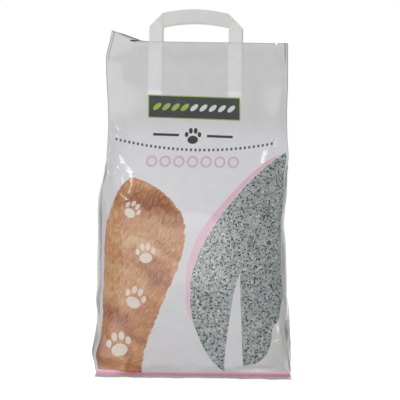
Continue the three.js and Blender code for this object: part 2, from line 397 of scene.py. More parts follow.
loose = (1 - held) * (1 - smooth_step(rest_z, 0.215 + 0.110 * side_film, 0.370 + 0.070 * side_film))
blow_out(sack, held, loose, CAP)

# %% [markdown]
# One subdivision gives the film enough points for its creases. The film's own coordinates are read back
# from the UV map, so a crease can be placed in millimetres of film.

# %% Refine
def apply_modifier(piece, kind, **settings):
    pick(piece)
    added = piece.modifiers.new(kind, kind)
    for key, value in settings.items():
        setattr(added, key, value)
    bpy.ops.object.modifier_apply(modifier=added.name)


apply_modifier(sack, "SUBSURF", levels=1, render_levels=1)


def film_map(piece):
    """Where each point lies on the film, in millimetres: round the tube, and up from the floor."""
    found = np.zeros((len(piece.data.vertices), 2))
    corner = numbers_of(piece.data.loops, "vertex_index", kind=int)
    found[corner] = numbers_of(piece.data.uv_layers["film"].data, "uv", 2) / MM
    return found.T


def normals_of(piece):
    return numbers_of(piece.data.vertices, "normal", 3)


film_u, film_v = film_map(sack)
print("refined:", len(sack.data.vertices), "points,", len(sack.data.polygons), "faces")

# %% [markdown]
# Film is never quite even. Broad soft lumps come from the litter behind it, and the slack neck waves. All
# the films of the neck move together there, so that none passes through another.

# %% Lumps and waves
def wrapped(distance, lap):
    """A distance round the tube without its whole laps, from -lap / 2 to lap / 2."""
    return (distance + lap / 2) % lap - lap / 2


def lumps(a, b, size, seed):
    """Smooth random lumps from -1 to 1, this many millimetres across."""
    table = np.random.default_rng(seed).uniform(-1, 1, (97, 97))
    a, b = a / size + 31, b / size + 17
    i, j = np.floor(a).astype(int), np.floor(b).astype(int)
    s, t = smooth_step(a - i, 0, 1), smooth_step(b - j, 0, 1)

    def at(right, above):
        return table[(i + right) % 97, (j + above) % 97]

    return (at(0, 0) * (1 - s) + at(1, 0) * s) * (1 - t) + (at(0, 1) * (1 - s) + at(1, 1) * s) * t


points, outward = points_of(sack) / MM, normals_of(sack)
x, y, z = points.T
full = (1 - smooth_step(z, 360, 430)) * smooth_step(z, 4, 30)
broad = 0.9 * lumps(film_u, film_v, 62, 1) + 0.35 * lumps(film_u, film_v, 23, 2)
points += outward * (full * broad)[:, None]
slack = smooth_step(z, 400, 500)
points[:, 1] += slack * (2.2 * lumps(x, z * 0.35, 55, 4) * smooth_step(abs(x - 3), 95, 130)
                         + 1.1 * lumps(x, z * 0.3, 42, 9) * (1 - smooth_step(z, 530, 590)))
in_gusset = smooth_step(abs(wrapped(film_u, LAP)), PANEL / 2, PANEL / 2 + 14)
points += outward * (full * in_gusset * 1.5 * lumps(film_u, film_v * 0.4, 26, 12))[:, None]
print("lumps moved the film by up to", abs(points - points_of(sack) / MM).max().round(1), "mm")
move_points(sack, points * MM)

# %% [markdown]
# A crease is a line pressed into the film: sharp along its middle, with the film pushed up a little on both
# sides. The folds of the gussets stay as raised lines down the four corners. Each side has a valley where
# its gusset was folded, which forks near the floor to the two corners of the base, and two low ridges that
# run from the top of the valley to the corners, where the gusset opens.

# %% Creases
def crease(line, width, depth, fade=0.2):
    """How far each point moves inwards for one crease along a line of film places."""
    best, share = np.full(len(film_u), 1e9), np.zeros(len(film_u))
    line = np.array(line, float)
    steps = np.linalg.norm(np.diff(line, axis=0), axis=1)
    run = np.concatenate([[0], np.cumsum(steps)])
    for (a, b), length, before in zip(zip(line, line[1:]), steps, run):
        off = np.stack([wrapped(film_u - a[0], AROUND), film_v - a[1]], axis=1)
        t = np.clip(off @ (b - a) / length**2, 0, 1)
        gap = np.linalg.norm(off - t[:, None] * (b - a), axis=1)
        nearer = gap < best
        best[nearer], share[nearer] = gap[nearer], (before + t[nearer] * length) / run[-1]
    ends = smooth_step(share, 0, fade) * (1 - smooth_step(share, 1 - fade, 1)) if fade else 1
    valley = np.clip(1 - best / width, 0, 1)**2
    shoulders = np.exp(-((best - 1.5 * width) / (0.6 * width))**2)
    return depth * (valley - 0.28 * shoulders) * ends


def press_creases(piece, creases):
    move = sum(crease(*each) for each in creases)
    move_points(piece, points_of(piece) - normals_of(piece) * (move * MM)[:, None])
    print("pressed", len(creases), "creases")


FRONT_LEFT, FRONT_RIGHT = -PANEL / 2, PANEL / 2
BACK_RIGHT, BACK_LEFT = LAP - PANEL / 2, LAP + PANEL / 2
RIGHT_MIDDLE, LEFT_MIDDLE = LAP / 2, LAP * 3 / 2
FORK_FOOT, FORK_WIDTH, FORK_DEPTH = 8, 8, 3.4
corner_folds = [([(u, -10), (u + 1, 200), (u, 640)], 4, -1.3, 0)
                for u in (FRONT_LEFT, FRONT_RIGHT, BACK_RIGHT, BACK_LEFT)]
gusset_valleys = [
    ([(middle, 400), (middle + sway, bend), (middle - sway, bend - drop), (middle, fork)], 9, 2.4, 0.1)
    for middle, sway, bend, drop, fork in ((RIGHT_MIDDLE, 2, 300, 100, 96), (LEFT_MIDDLE, -2, 310, 90, 118))]
gusset_forks = [([start, bend, (end, FORK_FOOT)], FORK_WIDTH, FORK_DEPTH, 0.12) for start, bend, end in (
    ((RIGHT_MIDDLE, 100), (205, 52), FRONT_RIGHT + 3), ((RIGHT_MIDDLE, 100), (268, 50), BACK_RIGHT - 3),
    ((LEFT_MIDDLE, 124), (739, 66), AROUND + FRONT_LEFT - 3), ((LEFT_MIDDLE, 124), (676, 62), BACK_LEFT + 3))]
opening_ridges = [([start, bend, end], 8, -1.8, 0.2) for start, bend, end in (
    ((RIGHT_MIDDLE, 432), (208, 378), (182, 336)), ((RIGHT_MIDDLE, 432), (262, 384), (290, 352)),
    ((LEFT_MIDDLE, 436), (735, 386), (762, 346)), ((LEFT_MIDDLE, 436), (680, 380), (654, 340)))]
press_creases(sack, corner_folds + gusset_valleys + gusset_forks + opening_ridges)

# %% [markdown]
# A sack that has been stacked and carried has creases of its own. The left shoulder has popped out past a
# hollow, the left side has a pinch with a crumpled edge and the right side another low down, and small
# sharp dents near the corners catch the light. The litter has slumped away behind three broad hollows on
# the right.

# %% Handling creases
left_shoulder = [
    ([(-178, 378), (-168, 354), (-159, 334), (-153, 310)], 12, 3.2, 0.25),
    ([(-181, 366), (-177, 344), (-168, 322), (-162, 300)], 6, -2.0, 0.3),
    ([(-177, 392), (-165, 380)], 4.5, 2.4, 0.3),
    ([(-178, 372), (-165, 361)], 4.5, 2.4, 0.3),
    ([(-182, 330), (-186, 290), (-183, 240), (-187, 190)], 7, 1.6, 0.3),
]
pinches = [
    ([(-184, 152), (-192, 127), (-187, 98)], 8, 2.6, 0.35),
    ([(-178, 146), (-173, 126), (-178, 106)], 4, -2.2, 0.3),
    ([(188, 106), (196, 86), (199, 72), (208, 48)], 8, 2.6, 0.35),
    ([(180, 118), (184, 84), (182, 40)], 6, -1.8, 0.3),
    ([(158, 99), (161, 80)], 5, -2.8, 0.3),
    ([(148, 66), (164, 72)], 4.5, 2.6, 0.3),
]
neck_dents = [
    ([(-161, 456), (-149, 445)], 4.5, 2.2, 0.3),
    ([(152, 442), (149, 413)], 5, 2.4, 0.3),
    ([(153, 610), (160, 588)], 4, 0.8, 0.3),
]
hollows = [
    ([(176, 304), (163, 282), (151, 262), (138, 246)], 14, 3.6, 0.3),
    ([(116, 72), (133, 86), (150, 103)], 9, 4.2, 0.3),
    ([(150, 200), (165, 170), (170, 140)], 12, 1.6, 0.3),
    ([(-162, 16), (-140, 20), (-116, 13)], 6, -1.5, 0.3),
    ([(-150, 60), (-168, 90)], 9, 1.5, 0.3),
]
press_creases(sack, left_shoulder + pinches + neck_dents + hollows)

# %% [markdown]
# The simulation only comes near the real outline. These tables say where the two sides of the sack are
# seen, at heights in the middle plane. What is missing is found along lines of sight from the camera, and
# the sides move by it, more the further out they lie. Any other sack would get its own tables here.

# %% Fit the outline
LEFT_SIDE = [
    (0, -181), (14, -184), (29, -189), (48, -186), (67, -182.5), (86, -179.5), (105, -179), (120, -181),
    (135, -182), (158, -179.5), (203, -180), (248, -179), (294, -180), (316, -179.7), (332, -178),
    (347, -174.4), (362, -170), (392, -166.5), (411, -164.5), (456, -162.6), (483, -163), (509, -164.4),
    (536, -166.5), (562, -168), (585, -168.5), (HEIGHT, -168.5)]
RIGHT_SIDE = [
    (0, 189), (34, 189), (53, 188.3), (72, 186.4), (91, 186.4), (110, 184.6), (125, 183), (140, 180.2),
    (163, 179.3), (208, 177.1), (231, 176.2), (253, 174.2), (276, 171.7), (299, 173.1), (321, 175),
    (336, 177), (367, 177), (382, 178), (397, 179.4), (416, 178.3), (435, 176.3), (461, 175),
    (488, 174.5), (540, 175.6), (HEIGHT, 175)]
EYE_X, EYE_Z = LENS_PLACE.x / MM, LENS_PLACE.z / MM
EYE_FAR = -LENS_PLACE.y / MM


def fit_outline(points):
    x, y, z = points.T
    reach = EYE_FAR / (EYE_FAR + y)
    seen_x, seen_z = EYE_X + (x - EYE_X) * reach, EYE_Z + (z - EYE_Z) * reach
    heights = np.arange(5, 616, 5)
    shift = np.zeros(len(x))
    for side, table in ((-1, LEFT_SIDE), (1, RIGHT_SIDE)):
        table = np.array(table)
        wanted = side * np.interp(heights, table[:, 0], table[:, 1])
        reached = np.array([(side * seen_x)[abs(seen_z - height) < 3.5].max() for height in heights])
        gap = wanted - reached
        print("outline", side, "was off by", gap.round(1).min(), "to", gap.round(1).max(), "mm")
        gap = np.convolve(np.pad(gap, 1, mode="edge"), (0.25, 0.5, 0.25), "valid")
        half = np.interp(seen_z, heights, reached)
        near_side = smooth_step(side * seen_x / half, 0.84, 0.995)
        shift += side * np.interp(seen_z, heights, gap) * near_side / reach
    return np.stack([x + shift, y, z], axis=1)


move_points(sack, fit_outline(points_of(sack) / MM) * MM)

# %% [markdown]
# The handle strips are sealed to the insides of the panels, and stand out a little through the film. The
# left corner of the top is pulled up and tucked in, and there the back panel's edge shows above the front
# one's. A nick is torn into the top edge near its right end.

# %% Neck details
ARM_MIDDLE, ARM_WIDTH, ARM_END = 75, 25, 503
REAR_SHIFT = 2.5  # how much further to the right the rear loop stands
CORNER, LIFTED_WIDTH, LIFTED_IN, LIFTED_UP = -168.5, 68, 10, 20
NICK, NICK_DEPTH = 152.2, 5.5

x, y, z = points_of(sack).T / MM
beside_arm = abs(abs(x - np.where(y < 0, 0, REAR_SHIFT)) - ARM_MIDDLE)
over_arm = 1 - smooth_step(beside_arm, ARM_WIDTH / 2 - 0.5, ARM_WIDTH / 2 + 3)
in_front = film_u < FRONT_RIGHT
panel_film = in_front | ((film_u > BACK_RIGHT) & (film_u < BACK_LEFT))
away = np.where(y < 0, -1, 1)
y = y * (1 - 0.42 * (1 - over_arm) * smooth_step(z, 575, HEIGHT))
raised = over_arm * smooth_step(z, ARM_END + 13, ARM_END + 21) * (1 - smooth_step(z, 600, HEIGHT))
y = y + away * 0.7 * raised * panel_film
lifted = np.clip((CORNER + LIFTED_WIDTH - x) / LIFTED_WIDTH, 0, 1) * smooth_step(z, 586, HEIGHT)
parted = smooth_step(x, -160, -140) * (1 - smooth_step(x, -108, -97)) * smooth_step(z, 600, HEIGHT)
nicked = (1 - smooth_step(abs(x - NICK), 1.2, 1.7)) * smooth_step(z, 596, HEIGHT)
x = x + LIFTED_IN * lifted
z = z + LIFTED_UP * lifted + np.where(in_front, -1.3, 1.2) * parted - NICK_DEPTH * nicked
move_points(sack, np.stack([x, y, np.maximum(z, 0.3)], axis=1) * MM)
print("corner lifted to", z.max().round(1), "mm, and the nick has", int((nicked > 0.5).sum()), "points")

# %% [markdown]
# The base is the film folded under, so its edge is extruded inwards and filled. At the top each film gets a
# cut edge with thickness: the rim is extruded inwards by the film's thickness and then down, which leaves
# the dark slit that the handles come out of. One face closes the slit at its bottom, so the sack is one
# closed mesh.

# %% Base and lips
FILM_THICK = 0.45
LIP_DEPTH = 14
FOLDED_UNDER = (0.93, 0.86, 1)
film_finish = Finish("printed_film")
inside_finish = Finish("inside_film")
sack.data.materials.clear()
sack.data.materials.append(film_finish.material)
sack.data.materials.append(inside_finish.material)


def edit(piece):
    pick(piece)
    bpy.ops.object.mode_set(mode="EDIT")
    bpy.ops.mesh.select_mode(type="VERT")
    bpy.ops.mesh.select_all(action="DESELECT")


def picked_points(piece):
    return numbers_of(piece.data.vertices, "select", kind=bool)


def rim(piece, above):
    """Selects the open edge above or below the middle of the sack, and says which points it has."""
    bpy.ops.mesh.select_non_manifold(extend=False, use_wire=False, use_boundary=True, use_multi_face=False,
                                     use_non_contiguous=False, use_verts=False)
    bpy.ops.object.mode_set(mode="OBJECT")
    flags = picked_points(piece)
    high = points_of(piece)[:, 2] > 0.3
    flags &= high if above else ~high
    bpy.ops.object.mode_set(mode="EDIT")
    bpy.ops.mesh.select_all(action="DESELECT")
    bpy.ops.object.mode_set(mode="OBJECT")
    piece.data.vertices.foreach_set("select", flags)
    bpy.ops.object.mode_set(mode="EDIT")
    bpy.ops.mesh.select_mode(type="EDGE")
    print("open edge:", flags.sum(), "points")
    return flags


edit(sack)
rim(sack, above=False)
bpy.ops.mesh.extrude_edges_move()
bpy.ops.transform.resize(value=FOLDED_UNDER, center_override=(0.003, 0, 0))
bpy.ops.mesh.fill(use_beauty=True)
bpy.ops.object.mode_set(mode="OBJECT")
print("base closed:", len(sack.data.polygons), "faces")

inward = -normals_of(sack) * [1, 1, 0]
inward /= np.maximum(np.linalg.norm(inward, axis=1, keepdims=True), 1e-9)
from_fold = np.min([abs(wrapped(film_u - fold, AROUND))
                    for fold in (FRONT_LEFT, FRONT_RIGHT, BACK_RIGHT, BACK_LEFT)], axis=0)
wall = np.minimum(FILM_THICK, 0.015 + 0.0095 * from_fold)
inward[:len(wall)] *= wall[:, None] * MM
edit(sack)
lip = rim(sack, above=True)
lip_places = points_of(sack)[lip]
order = None
for drop in (0.0, -LIP_DEPTH * MM):
    bpy.ops.mesh.extrude_edges_move()
    bpy.ops.object.mode_set(mode="OBJECT")
    moved = points_of(sack)
    fresh = np.flatnonzero(picked_points(sack))
    if order is None:
        order = [int(np.argmin(((lip_places - moved[i]) ** 2).sum(axis=1))) for i in fresh]
    moved[fresh] = lip_places[order] + inward[lip][order] + [0, 0, drop]
    move_points(sack, moved)
    bpy.ops.object.mode_set(mode="EDIT")
bpy.ops.mesh.edge_face_add()
bpy.ops.object.mode_set(mode="OBJECT")
print("lips made:", len(sack.data.polygons), "faces")

# %% [markdown]
# The weld that closes the foot of the tube is a thin stiff strip. The sack stands on it, so it is pushed
# out to the front, where it lies almost flat on the floor. It starts as a grid, is bent down in one long
# curve, waves a little as sealed film does, and then gets its thickness.

# %% Bottom weld
WELD_LEFT, WELD_RIGHT, WELD_THICK = -171, 181.5, 0.7
WELD_PROFILE = [(0, -70, 5.6), (0.35, -79, 4.6), (0.7, -89, 2.3), (1, -97, 1.2)]  # share, y, z


def thicken(piece, thickness, rounding):
    """Gives a flat piece its thickness and rounded edges, with its faces outwards."""
    apply_modifier(piece, "SOLIDIFY", thickness=thickness * MM, offset=0)
    apply_modifier(piece, "BEVEL", width=rounding * MM, segments=1, limit_method="ANGLE")
    bpy.ops.object.mode_set(mode="EDIT")
    bpy.ops.mesh.select_all(action="SELECT")
    bpy.ops.mesh.normals_make_consistent(inside=False)
    bpy.ops.object.mode_set(mode="OBJECT")
    bpy.ops.object.shade_smooth_by_angle(angle=math.radians(40))


bare_selection()
bpy.ops.mesh.primitive_grid_add(x_subdivisions=150, y_subdivisions=12, size=1)
weld = bpy.context.active_object
weld.name = weld.data.name = "bottom_weld"
grid = points_of(weld)
share_across, share_out = grid[:, 0] + 0.5, 0.5 - grid[:, 1]
profile = np.array(WELD_PROFILE)
x = WELD_LEFT + share_across * (WELD_RIGHT - WELD_LEFT)
y = np.interp(share_out, profile[:, 0], profile[:, 1]) + 1.2 * lumps(x, 0 * x, 70, 21) * share_out
z = np.interp(share_out, profile[:, 0], profile[:, 2])
z = z + share_out * (0.7 + 0.6 * lumps(x, 0 * x, 24, 22) + 0.4 * lumps(x, share_out * 10, 9, 23))
move_points(weld, np.stack([x, y, z], axis=1) * MM)
thicken(weld, WELD_THICK, 0.2)
weld_finish = Finish("weld_film")
weld.data.materials.append(weld_finish.material)
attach(weld, "root")
print("weld:", (np.ptp(points_of(weld), axis=0) / MM).round(1))

# %% [markdown]
# Each handle is one flat strip of film. It rises from the sack, is folded behind itself along a slanting
# line, runs across as the crossbar, and is folded again into the second arm. Here it is cut flat and
# standing, creased with two close lines at each fold, and turned a quarter at each line, which leaves a
# real rounded fold.

# %% Handle strips
STRIP_THICK = 0.5
FOLD_RUN = 1.4 / math.sqrt(2)  # half the width of a fold, measured up the strip
INNER, OUTER = ARM_MIDDLE - ARM_WIDTH / 2, ARM_MIDDLE + ARM_WIDTH / 2
FOLD_FOOT = 647
STRIP_LENGTH = 463
strip_finish = Finish("strip_film")


def turned(points, centre, axis, angle):
    """These points turned round an axis through a centre."""
    turn = np.array(Matrix.Rotation(angle, 3, Vector(axis)))
    return (points - centre) @ turn.T + centre


def handle_strip(name):
    """One strip, cut flat and folded, with its arms in the plane y = 0 and its crossbar behind them."""
    bare_selection()
    bpy.ops.mesh.primitive_grid_add(x_subdivisions=8, y_subdivisions=116, size=1)
    strip = bpy.context.active_object
    strip.name = strip.data.name = name
    flat = points_of(strip)
    flat = np.stack([flat[:, 0] * ARM_WIDTH - ARM_MIDDLE, np.zeros(len(flat)),
                     (flat[:, 1] + 0.5) * STRIP_LENGTH + ARM_END], axis=1)
    move_points(strip, flat * MM)
    edit(strip)
    first, second = FOLD_FOOT + OUTER, FOLD_FOOT + ARM_WIDTH + INNER  # z + lean * x along the two folds
    folds = [(total + half, lean) for total, lean in ((first, -1), (second, 1))
             for half in (-FOLD_RUN, FOLD_RUN)]
    for level, lean in folds:
        bpy.ops.mesh.select_all(action="SELECT")
        bpy.ops.mesh.bisect(plane_co=(0, 0, level * MM), plane_no=(lean, 0, 1))
    bpy.ops.object.mode_set(mode="OBJECT")
    flat = points_of(strip) / MM
    place = flat.copy()
    for level, lean in folds:
        past_line = flat[:, 2] + lean * flat[:, 0] - level
        on_line = np.flatnonzero(abs(past_line) < 1e-3)
        a = place[on_line[0]]
        b = place[max(on_line, key=lambda k: np.linalg.norm(place[k] - a))]
        axis = (b - a) * (1 if b[2] > a[2] else -1)
        beyond = past_line > -1e-4
        place[beyond] = turned(place[beyond], a, axis, -math.pi / 2)
    print(name, "folded:", place.min(axis=0).round(2), place.max(axis=0).round(2))
    return strip, place

# %% [markdown]
# A carried bag's handle is never straight again. The crossbar is arched, the strips bow a little, and the
# two loops stand slightly apart, the rear one lower and further to the right. Then the film gets its
# thickness.

# %% Shape and copy the handles
ARCH = 7.5
ARM_FACE = 1.35  # from the middle plane to the middle of an arm
REAR_DROP = 3


def shaped_loop(name, facing, shift, drop, seed):
    strip, place = handle_strip(name)
    x, y, z = place.T
    arch = ARCH * np.clip(1 - (x / INNER)**2, 0, 1)
    free = smooth_step(z, HEIGHT, 672)
    bow = 1.1 * free * (1 + 0.5 * np.sin(x / 23 + seed))
    bow = bow + 0.25 * lumps(x, z, 18, seed) * smooth_step(z, HEIGHT, 630)
    edge_wave = 0.35 * lumps(x, z * 0.4, 16, seed + 1) * free
    y = facing * (ARM_FACE - y + bow)
    move_points(strip, np.stack([x + shift + edge_wave, y, z + arch - drop], axis=1) * MM)
    thicken(strip, STRIP_THICK, 0.12)
    strip.data.materials.append(strip_finish.material)
    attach(strip, "root")
    return strip


front_loop = shaped_loop("front_loop", -1, 0, 0, 3)
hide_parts("front_handle")
rear_loop = shaped_loop("rear_loop", 1, REAR_SHIFT, REAR_DROP, 8)
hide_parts("rear_handle")

# %% [markdown]
# The print follows the film, so its masks are sums on the film's own coordinates. Both panels carry the
# same print: wrapping the distance round the tube gives each panel its own middle at zero. A height curve
# says where an edge of the print lies, and a soft step of half a millimetre turns that into a mask.

# %% Coordinates of the print
CURVE_HEIGHT, CURVE_HALF = 640, 300  # what a curve of the print spans, up and to each side


def axis_of(finish, place, letter):
    """One coordinate of a place, in millimetres."""
    return finish.node("ShaderNodeSeparateXYZ", None, place, output=letter) * 1000


def spot_at(finish, x, y):
    return finish.node("ShaderNodeCombineXYZ", None, x, y, 0.0)


film_uv = film_finish.node("ShaderNodeUVMap", {"uv_map": "film"})
film_round, film_up = axis_of(film_finish, film_uv, "X"), axis_of(film_finish, film_uv, "Y")
film_spot = spot_at(film_finish, film_round, film_up)
side = film_round.math("WRAP", LAP / 2, -LAP / 2)


def print_edge(line):
    """How far across the panel this edge of the print lies, at each height."""
    bends = sorted((v / CURVE_HEIGHT, (s + CURVE_HALF) / (2 * CURVE_HALF)) for s, v in line)
    shape = film_finish.node("ShaderNodeFloatCurve", {"bends": bends}, 1.0, film_up / CURVE_HEIGHT)
    return shape * (2 * CURVE_HALF) - CURVE_HALF


def past(value, edge, soft=0.45):
    """1 where the value lies past the edge."""
    return (value - edge).step(-soft, soft)


print("print laid out over", PANEL, "x", HEIGHT, "mm of each panel")

# %% [markdown]
# The large grey field is a printed picture of litter. Cells of a Voronoi texture are its grains, each with
# a tone of its own and darker edges, two coarser Voronoi textures drop dark gaps among them, and a slow
# noise makes some patches lighter. A white wedge cuts it from below, and a pink crescent runs along its
# left edge.

# %% Litter field, wedge and crescent
crescent_inner = print_edge([
    (57.2, 12), (35.5, 35.5), (16.4, 67.6), (3.4, 97.7), (-2, 125.2), (-3, 143), (-1.8, 168), (1.5, 189.5),
    (9.7, 211), (17.6, 232.4), (29.3, 254), (49.7, 286.6), (74.8, 320), (103.7, 353.2), (134.3, 381.7),
    (171.1, 411.6), (210, 440), (290, 640)])
crescent_outer = print_edge([
    (60, 0), (22, 60), (3.4, 97.7), (-6.1, 114.5), (-8.9, 125.2), (-10.4, 143), (-10, 168), (-7.7, 200),
    (-1.4, 221.5), (6.6, 243), (18.1, 264.6), (33.1, 286.4), (50.9, 308.6), (90.4, 353.1), (114.3, 375.6),
    (146.2, 399.6), (171.5, 412.2), (290, 640)])
wedge_left = print_edge([
    (58, 0), (58.6, 13.2), (64.7, 80.5), (71.5, 125), (80.9, 166.9), (90.4, 192), (140, 260), (290, 640)])
wedge_right = print_edge([
    (93, 0), (93, 24.7), (91.4, 68.2), (89.6, 119.7), (89.5, 166.9), (89.5, 192), (89.5, 640)])
field_right = print_edge([
    (60, 0), (93, 23.4), (117, 29), (128, 37), (138.7, 49.5), (144.9, 71), (147.2, 90), (158.7, 105.4),
    (168.3, 131.2), (177, 150), (182, 180), (183, 220), (181, 270), (176, 332), (173.5, 378), (171, 411),
    (168, 440), (168, 640)])
in_wedge = past(side, wedge_left) * (1 - past(side, wedge_right))
litter_field = past(side, crescent_inner) * (1 - past(side, field_right)) * (1 - in_wedge)
crescent = past(side, crescent_outer) * (1 - past(side, crescent_inner - 1.1))
crescent = crescent * past(film_up, 97) * (1 - past(side, 172))

GRAIN, PIT, SMALL_PIT = 3.9, 5.6, 4.6


def noise(finish, place, scale, detail, **more):
    """Soft noise from 0 to 1 over a place."""
    return finish.node("ShaderNodeTexNoise", {}, Vector=place, Scale=scale, Detail=detail, **more)


def cells(size, feature="F1", output=0):
    """Voronoi cells this many millimetres across, over the grains' own wobbled coordinates."""
    return film_finish.node("ShaderNodeTexVoronoi", {"feature": feature}, Vector=grain_spot, Scale=1 / size,
                            output=output)


def ramp(value, *stops):
    """The colour for a value, from stops that each give a value and a paint."""
    stops = [(at, paint(*tone)) for at, tone in stops]
    return film_finish.node("ShaderNodeValToRGB", {"stops": stops}, value)


wobble = noise(film_finish, film_spot, 0.35, 1.0, output="Color")
grain_spot = film_finish.node("ShaderNodeVectorMath", {"operation": "MULTIPLY_ADD"}, wobble, (1.8, 1.8, 0),
                              film_spot)
grain_tint = cells(GRAIN, output="Color")
grain_tone = film_finish.node("ShaderNodeSeparateColor", None, grain_tint, output="Red")
grain_warm = film_finish.node("ShaderNodeSeparateColor", None, grain_tint, output="Green")
grain_edge = cells(GRAIN, "DISTANCE_TO_EDGE").step(0.02, 0.22)
pits, small_pits = cells(PIT).step(0.26, 0.36), cells(SMALL_PIT).step(0.23, 0.34)
patches = noise(film_finish, film_spot, 0.05, 3.0)
grain_lit = 0.49 + 0.38 * grain_tone + 0.16 * grain_edge + 0.16 * (patches - 0.5)
grain_lit = grain_lit * pits * (0.15 + 0.85 * small_pits)
# The grains are painted darker towards the right and towards the foot: painted shade where the light falls
# off.
grain_lit = grain_lit * (1 - 0.13 * side.step(40, 150)) * (0.90 + 0.10 * film_up.step(60, 220))
grain_colour = ramp(grain_lit, (0.0, (34, 40, 39)), (0.30, (84, 92, 90)), (0.52, (138, 145, 145)),
                    (0.78, (177, 184, 184)), (1.0, (212, 217, 216)))
grain_colour = film_finish.blend(0.35 * grain_warm.step(0.6, 1), grain_colour, paint(158, 156, 140))
print("grains per panel, about", int(PANEL * 400 / GRAIN**2 / 2))

# %% [markdown]
# The left of the panel carries a warm field of the maker's own design: a petal in the colours of short fur.
# Its streaks and soft bands run round a point low on the left, so they are noise on polar coordinates,
# which is how fur patterns stay fine across and long along. Plain paw prints, each a pad and four toes,
# walk up it.

# %% Warm petal and paw prints
petal_edge = print_edge([
    (-92, 0), (-90, 12), (-80, 60), (-63, 110), (-44, 155), (-26, 195), (-14, 235), (-12, 262), (-18, 288),
    (-36, 314), (-62, 336), (-92, 352), (-118, 360), (-230, 366), (-230, 640)])
petal_left = print_edge([
    (-171.5, 0), (-171.5, 205), (-168, 240), (-163, 268), (-156, 292), (-149, 315), (-141, 336), (-130, 352),
    (-118, 360), (0, 366), (0, 640)])
from_left, from_foot = side + 210, film_up + 30
swing = from_foot.math("ARCTAN2", from_left)
reach = (from_left * from_left + from_foot * from_foot)**0.5
slow = noise(film_finish, film_spot, 0.022, 2.0)
bands = noise(film_finish, spot_at(film_finish, reach / 26 + slow * 3, swing * 1.2), 1.0, 2.0)
streaks = noise(film_finish, spot_at(film_finish, swing * 95 + slow * 9, reach / 16), 1.0, 3.0, Roughness=0.6)
tufts = noise(film_finish, spot_at(film_finish, swing * 60, reach / 40), 1.0, 2.0) - 0.5
petal = 1 - past(side, petal_edge + tufts * 9, 1.0)
petal = petal * past(side, petal_left - tufts * 5, 0.8) * past(side, -171.5)
fur = ramp(bands * 0.5 + streaks * 0.5, (0.36, (132, 74, 48)), (0.44, (166, 106, 71)), (0.51, (186, 132, 92)),
           (0.58, (199, 150, 108)), (0.66, (214, 180, 144)))
# Painted shade: the low left corner of the petal is darkened towards a brown grey.
painted_shade_low_left = (1 - film_up.step(20, 110)) * (1 - side.step(-172, -128))
fur = film_finish.blend(painted_shade_low_left * 0.35, fur, paint(112, 78, 70))


def oval(x, y, wide, high):
    """How far outside an oval each place is, and less than 0 inside it."""
    return ((x / wide) * (x / wide) + (y / high) * (y / high))**0.5 * min(wide, high) - min(wide, high)


def filled(shape, soft=0.4):
    """1 inside a shape, from how far outside it each place is."""
    return 1 - shape.step(-soft, soft)


def turned_place(dx, dy, degrees):
    """The same place seen along axes that are turned by so many degrees."""
    c, s = math.cos(math.radians(degrees)), math.sin(math.radians(degrees))
    return dx * c + dy * s, dy * c - dx * s


def paw(x, y, size, turn):
    """One paw print, this many millimetres high and turned by so many degrees."""
    a, b = (each / size for each in turned_place(side - x, film_up - y, turn))
    shape = oval(a, b + 0.22, 0.33, 0.25)
    for toe_x, toe_y, wide, high in ((-0.40, 0.10, 0.115, 0.16), (-0.15, 0.33, 0.12, 0.18),
                                     (0.15, 0.33, 0.12, 0.18), (0.40, 0.10, 0.115, 0.16)):
        shape = shape.least(oval(a - toe_x, b - toe_y, wide, high))
    return filled(shape * size)


paws = paw(-130, 58, 44, 12)
for each in ((-104, 142, 40, -22), (-84, 222, 36, 4), (-112, 300, 32, -34)):
    paws = paws.most(paw(*each))
print("paw prints: 4")

# %% [markdown]
# Above come the small motifs: a dark bordered panel with a row of leaves, a dark paw print between two
# bars, a curved row of dots and a row of pink rings. A row repeats one shape by wrapping the distance
# across. A pink band runs round the foot of the whole tube.

# %% Upper motifs and foot band
PANEL_UP, LEAVES_UP, BARS_UP, DOTS_UP, RINGS_UP = 492.1, 492, 439, 412, 390
LEAF_PITCH, DOT_PITCH, RING_PITCH = 18, 8.6, 26
tilted_up = film_up + 0.022 * side
panel_gap = (abs(side + 8) - 89.7).most(abs(tilted_up - PANEL_UP) - 22.1)
panel_all, panel_core = filled(panel_gap, 0.5), 1 - panel_gap.step(-2.4, -1.4)


def row_mask(start, end):
    return past(side, start) * (1 - past(side, end))


def row_of(start, pitch):
    """Distance from the nearest middle of a row of like shapes."""
    return (side - start).math("WRAP", pitch / 2, -pitch / 2)


leaf_x, leaf_y = row_of(-80, LEAF_PITCH), tilted_up - LEAVES_UP
leaf_a, leaf_b = leaf_x * 0.77 + leaf_y * 0.64, leaf_y * 0.77 - leaf_x * 0.64
leaves = filled(oval(leaf_a, leaf_b, 9.2, 4.2)) * row_mask(-88.5, 72.5)
lime_leaves = leaves * (1 - past(side, -17))
bars = filled(abs(tilted_up - BARS_UP) - 2.4) * (row_mask(-86, -36) + row_mask(18, 68))
dark_paw = paw(-9, 438, 31, 0)
dot_gap = oval(row_of(-157, DOT_PITCH), film_up - DOTS_UP - 0.00074 * (side - 5) * (side - 5), 2.2, 2.9)
dots = filled(dot_gap) * row_mask(-161.4, 151)
ring_gap = abs(oval(row_of(-84, RING_PITCH), film_up - RINGS_UP, 9, 9)) - 1.9
rings = filled(ring_gap, 0.5) * row_mask(-97, 85)
band_bends = [(0, 0.15), (0.115, 0.15), (0.13, 0.135), (0.15, 0.12), (0.2, 0.11), (0.25, 0.07), (0.35, 0.078),
              (0.6, 0.092), (0.8, 0.115), (0.87, 0.16), (1, 0.16)]
band_top = film_finish.node("ShaderNodeFloatCurve", {"bends": band_bends}, 1.0, (side + LAP / 2) / LAP) * 100
foot_band = 1 - past(film_up, band_top)
# The left end of the foot band is painted a lighter pink: a painted highlight where the film bulges there.
foot_pink_lit_left = film_finish.blend(side.step(-140, -116), paint(246, 208, 224), paint(229, 185, 202))
print("rows of motifs: leaves, dots and rings, every", LEAF_PITCH, DOT_PITCH, RING_PITCH, "mm")
